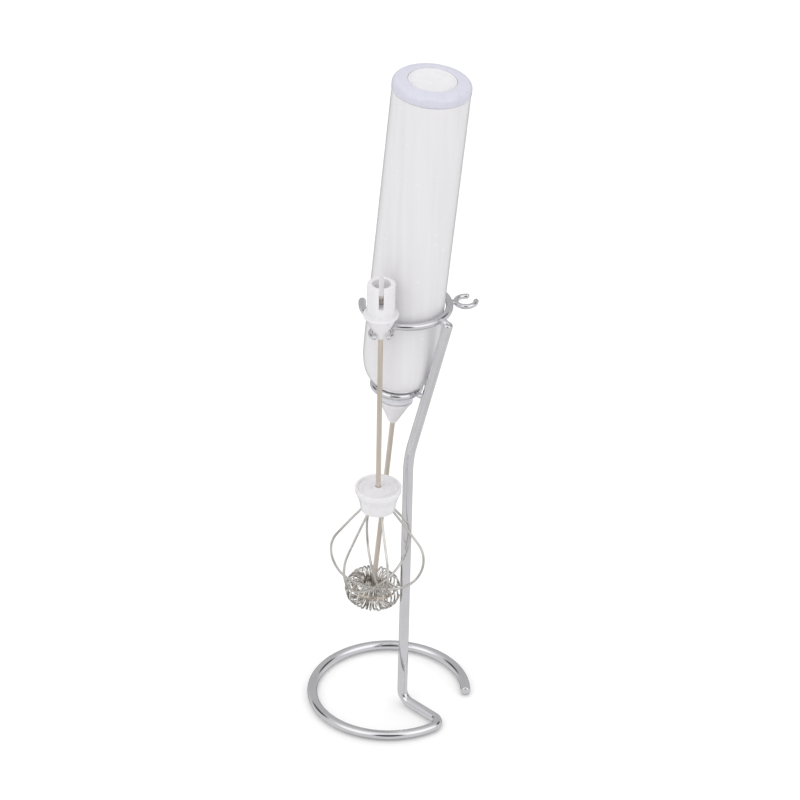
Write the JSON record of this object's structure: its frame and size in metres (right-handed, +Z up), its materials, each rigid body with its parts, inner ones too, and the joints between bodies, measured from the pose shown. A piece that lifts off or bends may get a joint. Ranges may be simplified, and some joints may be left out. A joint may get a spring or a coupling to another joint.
{
  "type": "milk frother",
  "caption": "Battery handheld milk frother with a coil whisk, standing in a chrome wire stand that also holds a spare balloon whisk and has a free hook.",
  "frame": {"origin": "centre of the object's bounding box at its lowest point, on the surface that the base ring stands on", "axes": "+Z up; -Y is the front, where the spare whisk hangs; +X is the viewer's right, towards which the frother leans"},
  "size_m": [0.0698, 0.0774, 0.2931],
  "materials": {
    "chrome_wire": "bright chrome plating on steel wire",
    "steel": "plain stainless wire, slightly warm",
    "spring_steel": "bright fine spring wire",
    "white_plastic": "glossy white ABS",
    "lavender_plastic": "glossy pale lavender ABS",
    "frosted_plastic": "frosted translucent plastic, bluish",
    "grey_plastic": "moulded grey, inside only",
    "black_plastic": "moulded black, inside only",
    "motor_steel": "plated motor can",
    "contact_metal": "sprung contact strip",
    "cell_sleeve": "plain printed-free cell jacket",
    "red_lead": "soft PVC"
  },
  "bodies": {
    "stand": {"stand_wire": "chrome_wire", "upper_ring": "chrome_wire", "lower_ring": "chrome_wire", "left_hook": "chrome_wire", "right_hook": "chrome_wire"},
    "handle": {"housing": "white_plastic", "nose_collar": "frosted_plastic", "motor_can": "motor_steel", "motor_end_cap": "black_plastic", "motor_seat": "grey_plastic", "battery_tray": "grey_plastic", "cell_left": "cell_sleeve", "cell_right": "cell_sleeve", "contact_plus": "contact_metal", "contact_minus": "contact_metal", "lead_plus": "red_lead", "lead_minus": "black_plastic"},
    "cap": {"cap_ring": "lavender_plastic", "switch_plate": "grey_plastic", "contact_bridge": "contact_metal", "switch_leaf": "contact_metal", "button_spring": "spring_steel"},
    "button": {"button": "white_plastic"},
    "rotor": {"drive_spindle": "grey_plastic", "motor_shaft": "steel"},
    "coil_attachment": {"coil_collar": "white_plastic", "coil_shaft": "steel", "coil_spring": "spring_steel"},
    "whisk_attachment": {"whisk_collar": "white_plastic", "whisk_shaft": "steel", "whisk_hub": "white_plastic", "whisk_loop_1": "steel", "whisk_loop_2": "steel", "whisk_loop_3": "steel"}
  },
  "joints": [
    {"name": "frother_lift", "type": "slide", "parent": "stand", "child": "handle", "axis": [0.0993, 0, 0.9951], "range_m": [0, 0.08]},
    {"name": "motor_spin", "type": "hinge", "parent": "handle", "child": "rotor", "pos_m": [0.00198, 0.00273, 0.14749], "axis": [0.0993, 0, 0.9951], "continuous": true},
    {"name": "coil_pull", "type": "slide", "parent": "rotor", "child": "coil_attachment", "axis": [-0.0993, 0, -0.9951], "range_m": [0, 0.08]},
    {"name": "cap_off", "type": "slide", "parent": "handle", "child": "cap", "axis": [0.0993, 0, 0.9951], "range_m": [0, 0.03]},
    {"name": "button_press", "type": "slide", "parent": "cap", "child": "button", "axis": [-0.0993, 0, -0.9951], "range_m": [0, 0.0012], "stiffness_N_per_m": 500, "springref_m": -0.002, "deforming": ["button_spring"]},
    {"name": "whisk_lift", "type": "slide", "parent": "stand", "child": "whisk_attachment", "axis": [0, -0.4472, 0.8944], "range_m": [0, 0.06]}
  ],
  "couplings": [
    {"joint": "coil_pull", "follows": "frother_lift", "ratio": 1}
  ]
}
